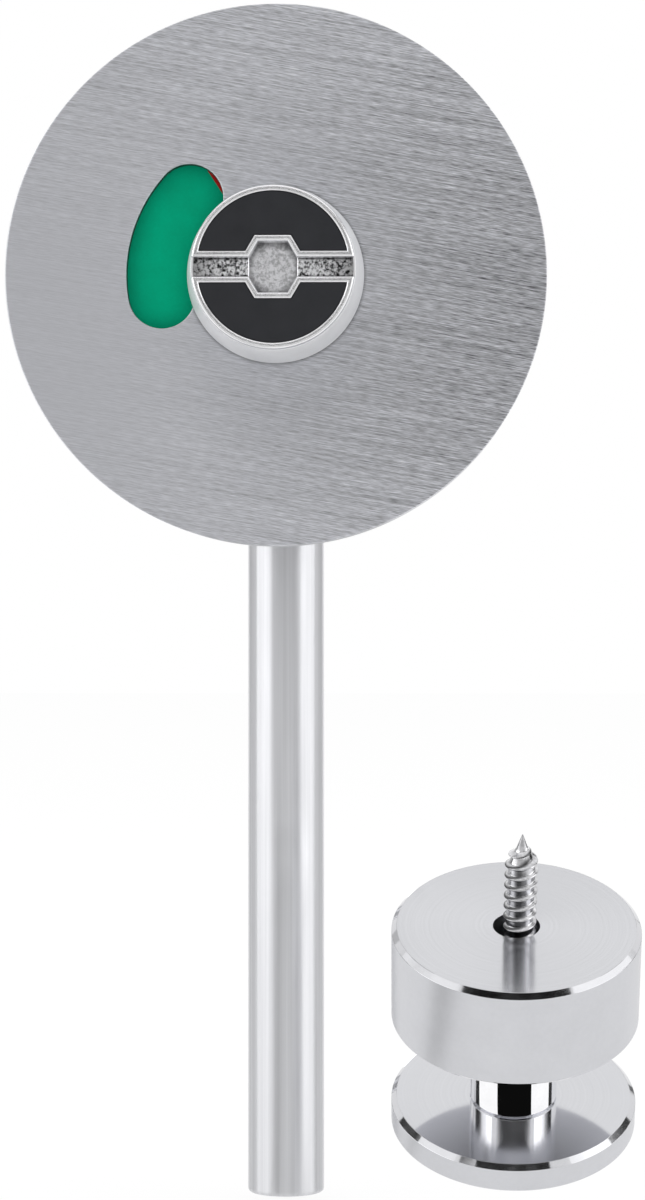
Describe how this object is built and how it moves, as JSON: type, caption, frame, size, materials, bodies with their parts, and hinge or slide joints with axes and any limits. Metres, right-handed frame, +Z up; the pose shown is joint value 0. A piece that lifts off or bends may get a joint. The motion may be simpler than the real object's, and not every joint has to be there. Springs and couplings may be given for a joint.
{
  "type": "toilet indicator bolt",
  "caption": "Round toilet-door indicator bolt with a coin-slot release and coloured window outside, a swing bar inside, and a grooved spool keep with a wood screw that the bar drops into.",
  "frame": {"origin": "on the spindle axis, in the plane of the door's outer face, where the outer base plate seats", "axes": "+Y goes along the spindle through the door from outside to inside, +Z is up, and +X is to the right as seen from outside"},
  "size_m": [0.0611, 0.051, 0.1195],
  "materials": {
    "brushed_rose": "straight brushed stainless steel",
    "satin_steel": "satin turned stainless steel",
    "polished_steel": "mirror polished stainless steel",
    "satin_chrome": "cast metal with satin plating and bright edges",
    "plated_steel": "bright zinc plated steel",
    "spring_steel": "dark hardened steel",
    "brass": "turned brass",
    "white_acetal": "bearing plastic",
    "disc_plastic": "moulded plastic",
    "vacant_green": "green printed face",
    "engaged_red": "red printed face",
    "black_inlay": "black satin inlay"
  },
  "bodies": {
    "bolt_case": {"outer_rose": "brushed_rose", "outer_base": "plated_steel", "outer_bush": "white_acetal", "disc_spring": "spring_steel", "fixing_sleeves": "brass", "fixing_screws": "plated_steel", "inner_base": "plated_steel", "inner_rose": "brushed_rose", "inner_bush": "white_acetal", "thrust_washer": "white_acetal", "keep_base": "satin_steel", "keep_neck": "polished_steel", "keep_flange": "satin_steel", "keep_screw": "plated_steel"},
    "bar_and_spindle": {"release_knob": "satin_chrome", "release_inlays": "black_inlay", "indicator_disc": "disc_plastic", "vacant_sector": "vacant_green", "engaged_sector": "engaged_red", "outer_retaining_ring": "spring_steel", "spindle": "plated_steel", "turn_hub": "satin_steel", "stop_pin": "spring_steel", "inner_retaining_ring": "spring_steel", "swing_bar": "satin_steel", "bar_set_screw": "spring_steel", "spindle_set_screw": "spring_steel"}
  },
  "joints": [
    {"name": "bar_swing", "type": "hinge", "parent": "bolt_case", "child": "bar_and_spindle", "pos_m": [0, 0, 0], "axis": [0, 1, 0], "range_deg": [-90, 90]}
  ]
}
